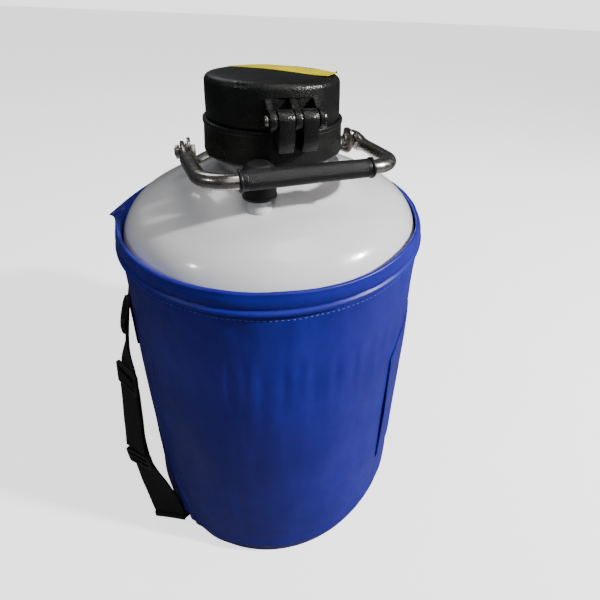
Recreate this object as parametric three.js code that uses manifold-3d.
// Portable liquid nitrogen dewar, about 6 litres: a vacuum-insulated aluminium
// vessel with a hinged cap, a bail handle and a padded carrying jacket.
// Units are millimetres, +Z is up and the origin is the centre of the jacket's
// underside. The cap's hinge and the handle's grip lie towards -Y; left is -X.
import * as THREE from "three";
import { mergeVertices } from "three/addons/utils/BufferGeometryUtils.js";
import Module from "manifold-3d";

const wasm = await Module();
wasm.setup();

// ---------------------------------------------------------------- dimensions
// Azimuths are in degrees, counted from -Y towards +X. z0 and z1 are the lower
// and upper heights of a piece, x0 and x1 its inner and outer distances from X = 0.
const GAP = 0.3; // clearance between neighbouring pieces
const COLLAR_FIT = 0.6; // radial clearance of the collar in the dome and in the plate
const SEG = 40; // facets round the large turned pieces
const SEG_IN = 24; // facets round the smaller and hidden turned pieces

// vessel
const SHELL = { radius: 149, wall: 2.5, z0: 4.2, z1: 344.3 };
const DOME = { z0: SHELL.z1 + GAP, knuckleRadius: 42, crownRadius: 250, holeRadius: 44 };
const INNER = { radius: 95, wall: 2, z0: 52, splitZ: 172, z1: 300 };
const DISH_MID = 0.68; // stations on the inner vessel's dished ends,
const DISH_EDGE = 0.91; // as fractions of its radius
const WRAP = { bore: INNER.radius + 1.5, thickness: 10 };
const COLLAR = {
  z0: 403, flangeRadius: 55, flangeZ0: 412.8, flangeZ1: 422.8, rimRadius: 44, z1: 431,
};
const NECK = { bore: 25, radius: 26.5, z0: 290, z1: COLLAR.z1 };
const COLLAR_BORE = NECK.radius + GAP;

// handle plate, handle and pivots
const PLATE = {
  z0: COLLAR.flangeZ1 + GAP, thickness: 3, bore: COLLAR.rimRadius + COLLAR_FIT, radius: 60,
};
const PLATE_TOP = PLATE.z0 + PLATE.thickness;
const WING_DROP = 10; // how far the plate's wings step down to the lugs
const LUG = { x0: 79.2, x1: 82.2, radius: 10 };
const PIVOT = { y: 0, z: 427 };
const HANDLE = {
  eyeX: 86.6, frontX: 79.5, length: 108, tilt: 5.7, // tilt in degrees above level
  tubeStart: 22, tubeRadius: 6.2, bendRadius: 26,
  eyeRadius: 10, eyeThickness: 4.4, taperEnd: 30, taperHalfHeight: 8,
};
const GRIP = { bore: HANDLE.tubeRadius + 0.35, radius: 7.7, flangeRadius: 8.6, length: 100 };
const GRIP_FLANGE_T = 3;
const BOLT_R = 4;

// cap
const BASE = { radius0: 67, radius1: 65.5, z0: PLATE_TOP + GAP, z1: 458, wall: 2.4, floor: 3 };
const BASE_RIM_R = BASE.radius1 + 1;
const BASE_RIM_BORE = BASE_RIM_R - 3.2;
const HINGE = { y: -74.2, z: 470.8, radius: 8.5, pinRadius: 2.5 };
const KNUCKLE = { x0: 3.5, x1: 16.5 };
const EAR = { x0: KNUCKLE.x1 + 1, x1: 23 };
const LID = { radius: 63.2, z0: 458.8, top: 497, wall: 3, lipRadius: 62 };
const LID_BORE = LID.radius - LID.wall - 1;
const TAB = { halfWidth: 8, endY: 78, holeY: 72.4, holeRadius: 3.2 };
const SCREW = { circleRadius: 50, radius: 2, headRadius: 3.8, azimuths: [45, 135, 225, 315] };

// vacuum port
const PORT = { azimuth: -22.5, circleRadius: 84, radius: 9, z0: 393 };
const PORT_CAP = { radius: 14, top: 439.5, bore: PORT.radius + 0.5 };

// neck plug and canisters
const INDEX = { bore: NECK.bore + 0.2, radius: COLLAR.rimRadius, z0: COLLAR.z1 + GAP, z1: 440 };
const SLOT = { width: 4, length: 26, height: 8, innerRadius: 20, depth: 4.6 };
const CANISTER = { count: 6, radius: 19, wall: 1, z0: 62, z1: 182, circleRadius: 42.3 };
const HOOK = { radius: 1.25, z: 437.5, endRadius: 41.5 };
const PLUG = { bore: 3.3, radius: 20.6, z0: 318, discRadius: 42 };

// jacket
const JACKET = { bore: SHELL.radius + 1, radius: 154.4, baseT: 3.6, z1: SHELL.z1 };
const PIPING = { sectionRadius: 2.6, radius: 153.2, z: 347.3 };
const BAND = { z0: 350.3, z1: 365 };
const CLOSURE_AZ = 33;
const FLAP = { azimuth0: CLOSURE_AZ, azimuth1: 52, thickness: 3.2, z0: 62, z1: 262, steps: 4 };
const STRAP = { width: 38, thickness: 2.4 };
// the left strap from its top down: azimuth, radius, height, turn of the webbing's width
const STRAP_STATIONS = [
  [-88, 161.5, 272, -88], [-88, 165, 250, -86], [-86.5, 167.5, 224, -81],
  [-85, 169.5, 204, -76], [-83, 171.5, 184, -68], [-81, 172, 164, -61],
  [-79.5, 173.5, 145, -60], [-77.5, 176, 122, -60], [-75, 177.5, 97, -56],
  [-73, 176, 78, -48], [-70.5, 171, 54, -43], [-68.5, 168, 32, -40],
  [-66.5, 166, 12, -39], [-66, 165.5, 1.6, -39],
];
// name, station, underside and top above the webbing, width, length
const STRAP_FITTINGS = [
  ["loop", 0, GAP, 3.8, 44, 16],
  ["adjuster", 4, 2.6, 6.6, 42, 22],
  ["buckle", 8, 2.6, 6.6, 42, 18],
];

// ----------------------------------------------------------------- materials
const WHITE = { color: 0xe6e8ea, roughness: 0.22, metalness: 0 };
const ALUMINIUM = { color: 0xb4b6b8, roughness: 0.4, metalness: 0.9 };
const STEEL = { color: 0xa6a8a8, roughness: 0.32, metalness: 1 };
const GRP = { color: 0xb9b38a, roughness: 0.5, metalness: 0 };
const FOIL = { color: 0xc9cbd0, roughness: 0.3, metalness: 0.9 };
const BLACK = { color: 0x1b1c1b, roughness: 0.5, metalness: 0 };
const RUBBER = { color: 0x161616, roughness: 0.75, metalness: 0 };
const BLUE = { color: 0x1e3696, roughness: 0.55, metalness: 0 };
const WEBBING = { color: 0x0c0c0e, roughness: 0.85, metalness: 0 };
const FOAM = { color: 0xe8e4d2, roughness: 0.9, metalness: 0 };
const YELLOW = { color: 0xc8ab16, roughness: 0.5, metalness: 0 };

// ------------------------------------------------------------ geometry tools
const rad = (degrees) => (degrees * Math.PI) / 180;
const vector = (point) => new THREE.Vector3(...point);
const polar = (azimuth, r, z) => [r * Math.sin(rad(azimuth)), -r * Math.cos(rad(azimuth)), z];

// A closed three.js geometry as a solid, turned the right way out.
function solid(geometry) {
  const bare = geometry.index ? geometry.toNonIndexed() : geometry.clone();
  for (const name of Object.keys(bare.attributes))
    if (name !== "position") bare.deleteAttribute(name);
  const merged = mergeVertices(bare, 1e-3);
  const index = merged.index.array;
  const triangles = [];
  for (let i = 0; i < index.length; i += 3) {
    const [a, b, c] = [index[i], index[i + 1], index[i + 2]];
    if (a !== b && b !== c && a !== c) triangles.push(a, b, c);
  }
  const build = () =>
    new wasm.Manifold(
      new wasm.Mesh({
        numProp: 3,
        vertProperties: new Float32Array(merged.attributes.position.array),
        triVerts: new Uint32Array(triangles),
      }),
    );
  const first = build();
  if (first.volume() >= 0) return first;
  for (let i = 0; i < triangles.length; i += 3)
    [triangles[i + 1], triangles[i + 2]] = [triangles[i + 2], triangles[i + 1]];
  return build();
}

function geometryOf(shape) {
  const { vertProperties, numProp, triVerts } = shape.getMesh();
  const positions = new Float32Array((vertProperties.length / numProp) * 3);
  for (let i = 0; i < positions.length / 3; i++)
    for (let k = 0; k < 3; k++) positions[3 * i + k] = vertProperties[i * numProp + k];
  const geometry = new THREE.BufferGeometry();
  geometry.setAttribute("position", new THREE.BufferAttribute(positions, 3));
  geometry.setIndex(new THREE.BufferAttribute(new Uint32Array(triVerts), 1));
  geometry.computeVertexNormals();
  return geometry;
}

const cut = (shape, tools) => tools.reduce((rest, tool) => rest.subtract(tool), shape);

// A profile of [r, z] points turned round +Z. It starts and ends on the axis,
// or is closed into a ring.
function lathe(profile, seg) {
  const points = profile.map(([r, z]) => new THREE.Vector2(r, z));
  return new THREE.LatheGeometry(points, seg).rotateX(Math.PI / 2);
}
const closed = (profile) => [...profile, profile[0]];
const turned = (profile, seg = SEG) => solid(lathe(profile, seg));
const turnedAt = ([x, y], profile, seg) => solid(lathe(profile, seg).translate(x, y, 0));
const ring = (ri, ro, z0, z1, seg = SEG) =>
  turned(closed([[ri, z0], [ro, z0], [ro, z1], [ri, z1]]), seg);
const disc = (r, z0, z1, seg = SEG) => turned([[0, z0], [r, z0], [r, z1], [0, z1]], seg);

// A cylinder between two points, with seg facets.
function rod(from, to, r, seg = 12) {
  const start = vector(from);
  const end = vector(to);
  const axis = end.clone().sub(start);
  const geometry = new THREE.CylinderGeometry(r, r, axis.length(), seg);
  const yAxis = new THREE.Vector3(0, 1, 0);
  geometry.applyQuaternion(
    new THREE.Quaternion().setFromUnitVectors(yAxis, axis.normalize()),
  );
  geometry.translate((start.x + end.x) / 2, (start.y + end.y) / 2, (start.z + end.z) / 2);
  return solid(geometry);
}
// Cylinders along X: through the handle's pivots and through the cap's hinge.
const pivotRod = (x0, x1, r, seg) => rod([x0, PIVOT.y, PIVOT.z], [x1, PIVOT.y, PIVOT.z], r, seg);
const hingeRod = (x0, x1, r) => rod([x0, HINGE.y, HINGE.z], [x1, HINGE.y, HINGE.z], r, 14);

function block(x0, x1, y0, y1, z0, z1) {
  const geometry = new THREE.BoxGeometry(x1 - x0, y1 - y0, z1 - z0);
  return solid(geometry.translate((x0 + x1) / 2, (y0 + y1) / 2, (z0 + z1) / 2));
}

function extruded(outline, depth) {
  const shape = new THREE.Shape(outline.map(([x, y]) => new THREE.Vector2(x, y)));
  return new THREE.ExtrudeGeometry(shape, { depth, bevelEnabled: false });
}
// An outline of [y, z] points, extruded along X.
function plateX(outline, x0, x1) {
  const axes = new THREE.Matrix4().set(0, 0, 1, x0, 1, 0, 0, 0, 0, 1, 0, 0, 0, 0, 0, 1);
  return solid(extruded(outline, x1 - x0).applyMatrix4(axes));
}
// An outline of [x, z] points, extruded along Y.
function plateY(outline, y0, y1) {
  const axes = new THREE.Matrix4().set(1, 0, 0, 0, 0, 0, -1, y1, 0, 1, 0, 0, 0, 0, 0, 1);
  return solid(extruded(outline, y1 - y0).applyMatrix4(axes));
}
// An outline of [x, y] points, extruded up.
const plateZ = (outline, z0, z1) => solid(extruded(outline, z1 - z0).translate(0, 0, z0));

// n points on a circle, or on an arc from a0 to a1 degrees with both ends included.
const circle = (r, n, cx, cy, a0 = 0, a1 = 360) =>
  Array.from({ length: n }, (_, i) => {
    const a = rad(a0 + ((a1 - a0) * i) / (a1 - a0 === 360 ? n : n - 1));
    return [cx + r * Math.cos(a), cy + r * Math.sin(a)];
  });

// A skin over a row of sections with equal numbers of points, capped at both ends.
function loft(sections) {
  const n = sections[0].length;
  const last = (sections.length - 1) * n;
  const index = [];
  for (let start = 0; start < last; start += n)
    for (let j = 0; j < n; j++) {
      const a = start + j;
      const b = start + ((j + 1) % n);
      index.push(a, b, b + n, a, b + n, a + n);
    }
  for (let j = 1; j + 1 < n; j++) {
    index.push(0, j + 1, j);
    index.push(last, last + j, last + j + 1);
  }
  const positions = new Float32Array(sections.flat().flatMap((p) => [p.x, p.y, p.z]));
  const geometry = new THREE.BufferGeometry();
  geometry.setAttribute("position", new THREE.BufferAttribute(positions, 3));
  geometry.setIndex(index);
  return geometry;
}

// The X range of a piece on one side: side is -1 for left, 1 for right.
const sideRange = (side, { x0, x1 }) => (side < 0 ? [-x1, -x0] : [x0, x1]);

const dewar = new THREE.Group();
function add(name, material, shape) {
  const mesh = new THREE.Mesh(geometryOf(shape), new THREE.MeshStandardMaterial(material));
  mesh.name = name;
  dewar.add(mesh);
}

// ==================================================================== VESSEL
// Outer can: raised centre in the bottom, straight wall.
function outerShell() {
  const { radius, wall, z0, z1 } = SHELL;
  return turned([
    [0, z0 + 6], [110, z0 + 6], [128, z0], [radius - 6, z0], [radius, z0 + 6],
    [radius, z1], [radius - wall, z1], [radius - wall, z0 + 7],
    [radius - 7, z0 + wall], [129, z0 + wall], [111, z0 + 6 + wall], [0, z0 + 6 + wall],
  ]);
}
add("outer_shell", ALUMINIUM, outerShell());

// Half section of the dome, offset inwards: the knuckle arc, then the crown arc to the hole.
function domeArc(offset, knuckleSteps, crownSteps) {
  const knuckleCentreR = SHELL.radius - DOME.knuckleRadius;
  const centreDistance = DOME.crownRadius - DOME.knuckleRadius;
  const joinAngle = Math.asin(knuckleCentreR / centreDistance); // from the vertical
  const crownCentreZ = DOME.z0 - centreDistance * Math.cos(joinAngle);
  const knuckleR = DOME.knuckleRadius - offset;
  const crownR = DOME.crownRadius - offset;
  const points = [];
  for (let i = 0; i <= knuckleSteps; i++) {
    const a = ((Math.PI / 2 - joinAngle) * i) / knuckleSteps;
    points.push([knuckleCentreR + knuckleR * Math.cos(a), DOME.z0 + knuckleR * Math.sin(a)]);
  }
  const holeAngle = Math.asin(DOME.holeRadius / crownR);
  for (let i = 1; i <= crownSteps; i++) {
    const a = joinAngle + ((holeAngle - joinAngle) * i) / crownSteps;
    points.push([crownR * Math.sin(a), crownCentreZ + crownR * Math.cos(a)]);
  }
  return points;
}

// White domed top with the neck opening and the vacuum port's hole.
function outerDome() {
  const section = [...domeArc(0, 5, 4), ...domeArc(SHELL.wall, 4, 2).reverse()];
  const portPoint = (z) => polar(PORT.azimuth, PORT.circleRadius, z);
  const hole = rod(portPoint(DOME.z0 + 20), portPoint(COLLAR.z1), PORT.radius + GAP, 16);
  return turned(closed(section)).subtract(hole);
}
add("outer_dome", WHITE, outerDome());

// Inner vessel in two halves, with the neck tube in the upper one.
function innerVesselLower() {
  const { radius, wall, z0, splitZ } = INNER;
  const mid = radius * DISH_MID;
  const edge = radius * DISH_EDGE;
  return turned([
    [0, z0], [mid, z0 + 4], [edge, z0 + 16], [radius, z0 + 38], [radius, splitZ],
    [radius - wall, splitZ], [radius - wall, z0 + 39], [edge - 1.5, z0 + 18],
    [mid - 1, z0 + 6], [0, z0 + wall],
  ], SEG_IN);
}
function innerVesselUpper() {
  const { radius, wall, splitZ, z1 } = INNER;
  const mid = radius * DISH_MID;
  const edge = radius * DISH_EDGE;
  return turned(closed([
    [radius, splitZ + GAP], [radius, z1 - 42], [edge, z1 - 20], [mid, z1 - 6],
    [NECK.radius + GAP, z1], [NECK.radius + GAP, z1 - wall], [mid - 1, z1 - 8],
    [edge - 1.5, z1 - 22], [radius - wall, z1 - 43], [radius - wall, splitZ + GAP],
  ]), SEG_IN);
}
add("inner_vessel_lower", ALUMINIUM, innerVesselLower());
add("inner_vessel_upper", ALUMINIUM, innerVesselUpper());
add("neck_tube", GRP, ring(NECK.bore, NECK.radius, NECK.z0, NECK.z1, SEG_IN));

// Insulation round the inner vessel, open at the neck, with a well for the adsorbent tray.
function insulationWrap() {
  const { bore, thickness } = WRAP;
  const { z0, z1 } = INNER;
  const under = z0 - thickness;
  const hole = NECK.radius + 1.5;
  return turned([
    [0, under - 9], [bore * 0.7, under - 5], [bore * 0.97, under + 6],
    [bore + thickness, z0 + 32], [bore + thickness, z1 - 36],
    [bore * 0.97, z1 - 4], [bore * 0.7, z1 + 10], [hole, z1 + 16], [hole, z1 + 3],
    [bore * 0.69, z1 - 2], [bore * 0.93, z1 - 17], [bore, z1 - 41], [bore, z0 + 37],
    [bore * 0.93, z0 + 13], [bore * 0.69, z0], [bore * 0.61, z0 - 9], [0, z0 - 9],
  ], SEG_IN);
}
add("insulation_wrap", FOIL, insulationWrap());

// Plain disc for the adsorbent tray under the inner vessel.
add("adsorbent_tray", ALUMINIUM, disc(50, INNER.z0 - 8.4, INNER.z0 - 1.2, 20));

// An upright cylinder on the screw circle, and the clearance holes for all four screws.
const screwRod = (azimuth, z0, z1, r) =>
  rod(polar(azimuth, SCREW.circleRadius, z0), polar(azimuth, SCREW.circleRadius, z1), r);
const screwHoles = (z0, z1) =>
  SCREW.azimuths.map((azimuth) => screwRod(azimuth, z0, z1, SCREW.radius + GAP));

// Neck collar: spigot in the dome, bolting flange and upper rim.
function neckCollar() {
  const { z0, flangeRadius, flangeZ0, flangeZ1, rimRadius, z1 } = COLLAR;
  const spigotRadius = DOME.holeRadius - COLLAR_FIT;
  const body = turned(closed([
    [COLLAR_BORE, z0], [spigotRadius, z0], [spigotRadius, flangeZ0], [flangeRadius, flangeZ0],
    [flangeRadius, flangeZ1], [rimRadius, flangeZ1], [rimRadius, z1], [COLLAR_BORE, z1],
  ]), SEG_IN);
  return cut(body, screwHoles(flangeZ0 - 6, flangeZ1 + 6));
}
add("neck_collar", ALUMINIUM, neckCollar());

// Index ring: the canister rods hook into its slots.
const canisterAzimuths = Array.from(
  { length: CANISTER.count }, (_, i) => 30 + (360 / CANISTER.count) * i,
);
function indexRing() {
  const slots = canisterAzimuths.map((azimuth) => {
    const slot = new THREE.BoxGeometry(SLOT.width, SLOT.length, SLOT.height);
    const floorZ = INDEX.z1 - SLOT.depth;
    slot.translate(0, -(SLOT.innerRadius + SLOT.length / 2), floorZ + SLOT.height / 2);
    return solid(slot.rotateZ(rad(azimuth)));
  });
  return cut(ring(INDEX.bore, INDEX.radius, INDEX.z0, INDEX.z1, SEG_IN), slots);
}
add("canister_index_ring", BLACK, indexRing());

// Canister: cup, upright rod on its inner side and hook pointing outwards.
function canister(azimuth) {
  const { radius, wall, z0, z1, circleRadius } = CANISTER;
  const cup = turnedAt(polar(azimuth, circleRadius, 0), [
    [0, z0], [radius, z0], [radius, z1], [radius - wall, z1], [radius - wall, z0 + wall],
    [0, z0 + wall],
  ], 14);
  const rodRadius = circleRadius - radius + 0.25; // distance of the rod from the dewar's axis
  const at = (r, z) => polar(azimuth, r, z);
  return cup
    .add(rod(at(rodRadius, z1 - 30), at(rodRadius, HOOK.z), HOOK.radius, 8))
    .add(rod(at(rodRadius - 0.9, HOOK.z), at(HOOK.endRadius, HOOK.z), HOOK.radius, 8));
}
canisterAzimuths.forEach((azimuth, i) => add("canister_" + (i + 1), STEEL, canister(azimuth)));

// ---------------------------------------------------- handle plate and pivots
// Ring with a wing on each side that steps down, then turns up into a round-topped lug.
function handlePlate() {
  const lowTop = PLATE_TOP - WING_DROP;
  const lowZ = PLATE.z0 - WING_DROP;
  const y0 = PIVOT.y - LUG.radius;
  const y1 = PIVOT.y + LUG.radius;
  const strip = [
    [50, PLATE_TOP], [58.5, PLATE_TOP], [77.6, lowTop], [LUG.x0 + 0.2, lowTop],
    [LUG.x1, lowTop], [LUG.x1, lowZ], [76.8, lowZ], [57.8, PLATE.z0], [50, PLATE.z0],
  ];
  const lug = [[y0, lowZ], ...circle(LUG.radius, 13, PIVOT.y, PIVOT.z, 180, 0), [y1, lowZ]];
  let plate = ring(PLATE.bore, PLATE.radius, PLATE.z0, PLATE_TOP);
  for (const side of [-1, 1]) {
    const [x0, x1] = sideRange(side, LUG);
    plate = plate
      .add(plateY(strip.map(([x, z]) => [side * x, z]), y0, y1))
      .add(plateX(lug, x0, x1))
      .subtract(pivotRod(x0 - 1, x1 + 1, BOLT_R + GAP, 16));
  }
  return cut(plate, screwHoles(PLATE.z0 - 4, PLATE_TOP + 4));
}
add("handle_plate", STEEL, handlePlate());

// A point in the handle's frame: along the arm from the pivots, and up square to it.
const tilt = rad(HANDLE.tilt);
const handleNormal = new THREE.Vector3(0, Math.sin(tilt), Math.cos(tilt)); // across the tube
const armPoint = (x, along, up = 0) => [
  x,
  PIVOT.y - along * Math.cos(tilt) - up * Math.sin(tilt),
  PIVOT.z + along * Math.sin(tilt) + up * Math.cos(tilt),
];

// A tube through points, with mitred sections so that each bend keeps its width.
function tubeAlong(path, r, n) {
  const points = path.map(vector);
  const direction = (i) => points[i + 1].clone().sub(points[i]).normalize();
  return solid(loft(points.map((point, i) => {
    const tangent = i ? direction(i - 1) : new THREE.Vector3();
    if (i + 1 < points.length) tangent.add(direction(i));
    tangent.normalize();
    const before = i ? direction(i - 1) : tangent;
    const mitre = 1 / Math.max(0.5, tangent.dot(before));
    const across = new THREE.Vector3().crossVectors(tangent, handleNormal).normalize();
    return Array.from({ length: n }, (_, j) => {
      const a = (2 * Math.PI * j) / n;
      return point.clone()
        .addScaledVector(across, r * mitre * Math.cos(a))
        .addScaledVector(handleNormal, r * Math.sin(a));
    });
  })));
}

// Bail handle: bent tube with a flattened, drilled eye at each end.
function handleTube() {
  const { eyeX, frontX, length, tubeStart, bendRadius, eyeRadius, eyeThickness } = HANDLE;
  const bend = (side) =>
    Array.from({ length: 7 }, (_, i) => {
      const a = (Math.PI / 2) * (i / 6);
      return armPoint(
        side * (frontX - bendRadius + bendRadius * Math.cos(a)),
        length - bendRadius + bendRadius * Math.sin(a),
      );
    });
  const path = [
    armPoint(-eyeX, tubeStart), ...bend(-1), ...bend(1).reverse(), armPoint(eyeX, tubeStart),
  ];
  const eyeOutline = [
    ...circle(eyeRadius, 11, PIVOT.y, PIVOT.z, -90 - HANDLE.tilt, 90 - HANDLE.tilt),
    armPoint(0, HANDLE.taperEnd, HANDLE.taperHalfHeight).slice(1),
    armPoint(0, HANDLE.taperEnd, -HANDLE.taperHalfHeight).slice(1),
  ];
  let tube = tubeAlong(path, HANDLE.tubeRadius, 12);
  for (const side of [-1, 1]) {
    const x0 = side * eyeX - eyeThickness / 2;
    const x1 = side * eyeX + eyeThickness / 2;
    tube = tube
      .add(plateX(eyeOutline, x0, x1))
      .subtract(pivotRod(x0 - 1, x1 + 1, BOLT_R + GAP, 16));
  }
  return tube;
}
add("handle_tube", STEEL, handleTube());

// Grip sleeve with end flanges, turned upright and then laid along X.
function handleGrip() {
  const { bore, radius, flangeRadius } = GRIP;
  const half = GRIP.length / 2;
  const end = half + GRIP_FLANGE_T;
  const profile = [
    [bore, -end], [flangeRadius, -end], [flangeRadius, -half], [radius, -half + 0.8],
    [radius, half - 0.8], [flangeRadius, half], [flangeRadius, end], [bore, end],
  ];
  const sleeve = lathe(closed(profile), 16).rotateY(Math.PI / 2);
  return solid(sleeve.translate(...armPoint(0, HANDLE.length)));
}
add("handle_grip", RUBBER, handleGrip());

// Pivot bolts with hexagonal heads inside the lugs, washers and nuts.
const boltHole = (x0, x1) => pivotRod(x0, x1, BOLT_R + GAP, 14);
for (const [sideName, side] of [["left", -1], ["right", 1]]) {
  const headX = LUG.x0 - GAP;
  const eyeInner = HANDLE.eyeX - HANDLE.eyeThickness / 2;
  const eyeOuter = HANDLE.eyeX + HANDLE.eyeThickness / 2;
  const bolt = pivotRod(side * (headX - 3.6), side * headX, 6.4, 6)
    .add(pivotRod(side * (headX - 1), side * (eyeOuter + 5.2), BOLT_R, 14));
  const washer = pivotRod(side * (LUG.x1 + GAP), side * (eyeInner - GAP), 8, 16)
    .subtract(boltHole(side * (LUG.x1 - 1), side * HANDLE.eyeX));
  const nut = pivotRod(side * (eyeOuter + GAP), side * (eyeOuter + 4.2), 6.6, 6)
    .subtract(boltHole(side * (eyeOuter - 1), side * (eyeOuter + 6)));
  add("pivot_bolt_" + sideName, STEEL, bolt);
  add("pivot_washer_" + sideName, STEEL, washer);
  add("pivot_nut_" + sideName, STEEL, nut);
}

// ------------------------------------------------------------------ cap base
const hingeBore = () => hingeRod(-30, 30, HINGE.pinRadius + GAP);
const padlockTab = (y0, z0, z1) => block(-TAB.halfWidth, TAB.halfWidth, y0, TAB.endY, z0, z1);
const padlockHole = (z0, z1) => rod([0, TAB.holeY, z0], [0, TAB.holeY, z1], TAB.holeRadius);

// Shallow cup with two hinge knuckles at -Y and a padlock tab at +Y.
function capBase() {
  const { radius0, radius1, z0, z1, wall, floor } = BASE;
  const knuckle = [
    [-61, z1 - 14], [-61, z1 - 0.4], [-64.9, z1], [HINGE.y + HINGE.radius, HINGE.z - 3.2],
    ...circle(HINGE.radius, 9, HINGE.y, HINGE.z, 0, 180),
    [HINGE.y - HINGE.radius, HINGE.z - 14], [HINGE.y - 2, z1 - 14],
  ];
  let base = turned(closed([
    [45, z0], [radius0 - 1.5, z0], [radius0, z0 + 2],
    [radius1, z1 - 4], [BASE_RIM_R, z1 - 3], [BASE_RIM_R, z1], [BASE_RIM_BORE, z1],
    [radius0 - wall - 0.7, z0 + floor], [45, z0 + floor],
  ]));
  for (const side of [-1, 1]) base = base.add(plateX(knuckle, ...sideRange(side, KNUCKLE)));
  base = base.subtract(hingeBore()).add(padlockTab(radius1 - 2, z1 - 4.5, z1));
  return cut(base, [
    padlockHole(z1 - 10, z1 + 5),
    disc(BASE_RIM_BORE, z0 + 14, z1 + 1), // clears what reaches in from the slab and tab
    ...screwHoles(z0 - 4, z0 + 8),
  ]);
}
add("cap_base", BLACK, capBase());

// Screws through the base and the handle plate into the collar.
SCREW.azimuths.forEach((azimuth, i) => {
  const shank = screwRod(azimuth, COLLAR.flangeZ0 + 0.6, BASE.z0 + 4, SCREW.radius);
  const headZ = BASE.z0 + BASE.floor + GAP;
  const head = screwRod(azimuth, headZ, BASE.z0 + 5.6, SCREW.headRadius);
  add("base_screw_" + (i + 1), STEEL, shank.add(head));
});

// Hinge pin with a head on the left.
add("hinge_pin", STEEL, hingeRod(-EAR.x1 - 0.4 - GAP, EAR.x1 + 1.5, HINGE.pinRadius)
  .add(hingeRod(-EAR.x1 - 2.2, -EAR.x1 - GAP, 4.2)));

// ----------------------------------------------------------------------- lid
function capLid() {
  const { radius, z0, top, wall, lipRadius } = LID;
  const lipZ = BASE.z1 - 5; // the lip reaches down into the base
  const ear = [
    [-57, HINGE.z - HINGE.radius], [-57, HINGE.z + 13],
    ...circle(HINGE.radius, 11, HINGE.y, HINGE.z, 66, 270),
  ];
  let lid = turned([
    [0, top], [51, top], [57.5, top - 1.6], [radius - 1.6, top - 5.5],
    [radius - 0.5, top - 11], [radius, z0], [lipRadius, z0], [lipRadius - 0.6, lipZ],
    [LID_BORE, lipZ], [LID_BORE, top - 10], [54, top - wall - 0.4], [0, top - wall],
  ]);
  // an ear outside each knuckle and a web between the knuckles
  for (const [x0, x1] of [[-EAR.x1, -EAR.x0], [-2.8, 2.8], [EAR.x0, EAR.x1]])
    lid = lid.add(plateX(ear, x0, x1));
  lid = lid.add(padlockTab(radius - 2, z0 + 0.4, z0 + 5.4));
  return cut(lid, [
    padlockHole(BASE.z1 - 5, z0 + 10),
    hingeBore(),
    disc(LID_BORE, BASE.z1 - 6, top - 12), // clears what reaches in from the ears and tab
  ]);
}
add("lid", BLACK, capLid());

// Plain label plate on the lid, as [x, y] corners.
const LABEL_OUTLINE = [
  [-34.5, 37.2], [34.5, -35.2], [49, -22], [52.9, 11.7], [16.1, 50.2], [-12, 52.5],
];
add("lid_label", YELLOW, plateZ(LABEL_OUTLINE, LID.top + GAP, LID.top + 0.9));

// ----------------------------------------------------------------- neck plug
// Foam sleeve on the stem of a cap with a disc and a knob.
function neckPlugCap() {
  const { z0, discRadius } = PLUG;
  const top = INDEX.z1;
  return turned([
    [0, z0 - 4], [9, z0 - 4], [9, z0 - 1], [3, z0 - 1], [3, top + 0.4],
    [discRadius, top + 0.4], [discRadius, top + 4.4], [discRadius - 2, top + 6],
    [13, top + 7], [9.5, top + 12], [14, top + 20], [12, top + 25], [0, top + 26.5],
  ], SEG_IN);
}
add("neck_plug_foam", FOAM, ring(PLUG.bore, PLUG.radius, PLUG.z0, INDEX.z1 - 1, SEG_IN));
add("neck_plug_cap", BLACK, neckPlugCap());

// --------------------------------------------------------------- vacuum port
const portCentre = polar(PORT.azimuth, PORT.circleRadius, 0);

function vacuumPort() {
  const { radius, z0 } = PORT;
  return turnedAt(portCentre, closed([
    [6, z0], [radius, z0], [radius, z0 + 31], [radius - 1, z0 + 32], [6, z0 + 32],
  ]), 20);
}
// Plug with a groove for the O-ring.
function vacuumPlug() {
  const { z0 } = PORT;
  return turnedAt(portCentre, [
    [0, z0 + 12], [5.7, z0 + 12], [5.7, z0 + 17], [3.8, z0 + 17], [3.8, z0 + 20],
    [5.7, z0 + 20], [5.7, z0 + 32.5], [8, z0 + 32.5], [8, z0 + 34.5], [0, z0 + 34.5],
  ], 16);
}
function vacuumORing() {
  const [x, y] = portCentre;
  return solid(new THREE.TorusGeometry(4.85, 0.75, 6, 16).translate(x, y, PORT.z0 + 18.5));
}
function vacuumCap() {
  const { radius, top, bore } = PORT_CAP;
  return turnedAt(portCentre, [
    [0, top], [6, top - 0.6], [10.6, top - 3], [radius - 0.8, top - 7], [radius, top - 12],
    [radius, top - 24.5], [radius - 1, top - 26.6], [bore, top - 26.6], [bore, top - 13],
    [9.5, top - 10], [8, top - 6], [0, top - 5],
  ], 20);
}
add("vacuum_port", ALUMINIUM, vacuumPort());
add("vacuum_plug", ALUMINIUM, vacuumPlug());
add("vacuum_o_ring", RUBBER, vacuumORing());
add("vacuum_cap", RUBBER, vacuumCap());

// -------------------------------------------------------------------- jacket
const pipingSection = circle(PIPING.sectionRadius, 6, PIPING.radius, PIPING.z);
const bandSection = [
  [JACKET.bore, BAND.z0], [154.6, BAND.z0], [152.6, BAND.z1 - 4],
  [150.6, BAND.z1], [147.6, BAND.z1], [148.6, BAND.z1 - 6],
];
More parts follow.
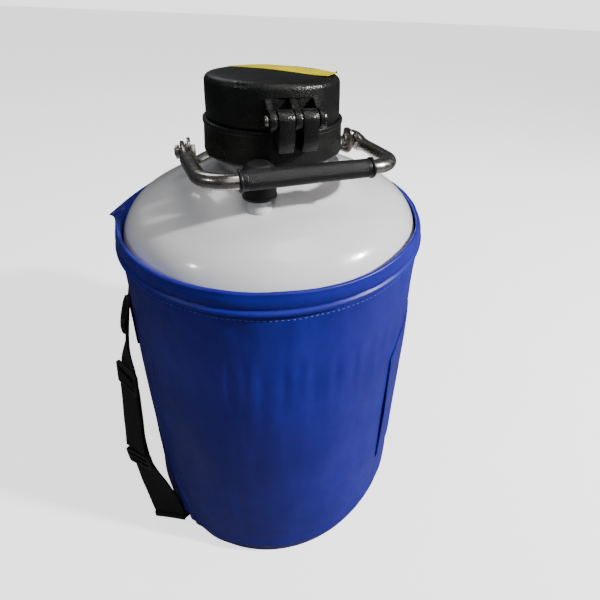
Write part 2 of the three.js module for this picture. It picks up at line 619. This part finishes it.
// Curved panel on the outside of the sleeve.
function closureFlap() {
  const arc = (r) =>
    Array.from({ length: FLAP.steps + 1 }, (_, i) =>
      polar(FLAP.azimuth0 + ((FLAP.azimuth1 - FLAP.azimuth0) * i) / FLAP.steps, r, 0));
  const outline = [
    ...arc(JACKET.radius + FLAP.thickness), ...arc(JACKET.radius + GAP).reverse(),
  ];
  return plateZ(outline, FLAP.z0, FLAP.z1);
}
add("jacket_base", BLUE, disc(JACKET.radius, 0, JACKET.baseT));
add("jacket_sleeve", BLUE, ring(JACKET.bore, JACKET.radius, JACKET.baseT + GAP, JACKET.z1));
add("jacket_piping", BLUE, turned(closed(pipingSection)));
add("jacket_hem_band", BLUE, turned(closed(bandSection)));
add("jacket_closure_flap", BLUE, closureFlap());

// -------------------------------------------------------------------- straps
// Each station has a centre and unit vectors along, across and out from the webbing.
const strapCentres = STRAP_STATIONS.map(([azimuth, r, z]) => vector(polar(azimuth, r, z)));
const stations = strapCentres.map((centre, i) => {
  const turn = rad(STRAP_STATIONS[i][3]);
  const previous = strapCentres[Math.max(0, i - 1)];
  const next = strapCentres[Math.min(strapCentres.length - 1, i + 1)];
  const across = new THREE.Vector3(Math.cos(turn), Math.sin(turn), 0);
  const along = next.clone().sub(previous).normalize();
  const out = new THREE.Vector3().crossVectors(along, across).normalize();
  return { centre, across, along, out };
});

// A slab through stations, between two offsets from the webbing's mid-plane.
function ribbon(list, bottom, top, width) {
  const half = width / 2;
  const corners = [[-half, bottom], [half, bottom], [half, top], [-half, top]];
  return loft(list.map(({ centre, across, out }) =>
    corners.map(([sideways, outwards]) =>
      centre.clone().addScaledVector(across, sideways).addScaledVector(out, outwards))));
}

// A short straight piece of hardware outside the webbing, centred on one station.
function fitting(index, bottom, top, width, length) {
  const station = stations[index];
  const ends = [-length / 2, length / 2].map((distance) => ({
    ...station, centre: station.centre.clone().addScaledVector(station.along, distance),
  }));
  return ribbon(ends, STRAP.thickness / 2 + bottom, STRAP.thickness / 2 + top, width);
}

// Reflection in the upright plane through the closure's azimuth.
function mirrored(geometry) {
  const [planeX, planeY] = polar(CLOSURE_AZ, 1, 0);
  const p = geometry.attributes.position;
  for (let i = 0; i < p.count; i++) {
    const k = 2 * (p.getX(i) * planeX + p.getY(i) * planeY);
    p.setXY(i, k * planeX - p.getX(i), k * planeY - p.getY(i));
  }
  return geometry;
}

for (const side of ["left", "right"]) {
  const place = (geometry) => solid(side === "left" ? geometry : mirrored(geometry));
  const webbing = ribbon(stations, -STRAP.thickness / 2, STRAP.thickness / 2, STRAP.width);
  add("strap_" + side, WEBBING, place(webbing));
  for (const [name, ...sizes] of STRAP_FITTINGS)
    add("strap_" + name + "_" + side, RUBBER, place(fitting(...sizes)));
}

export default dewar;
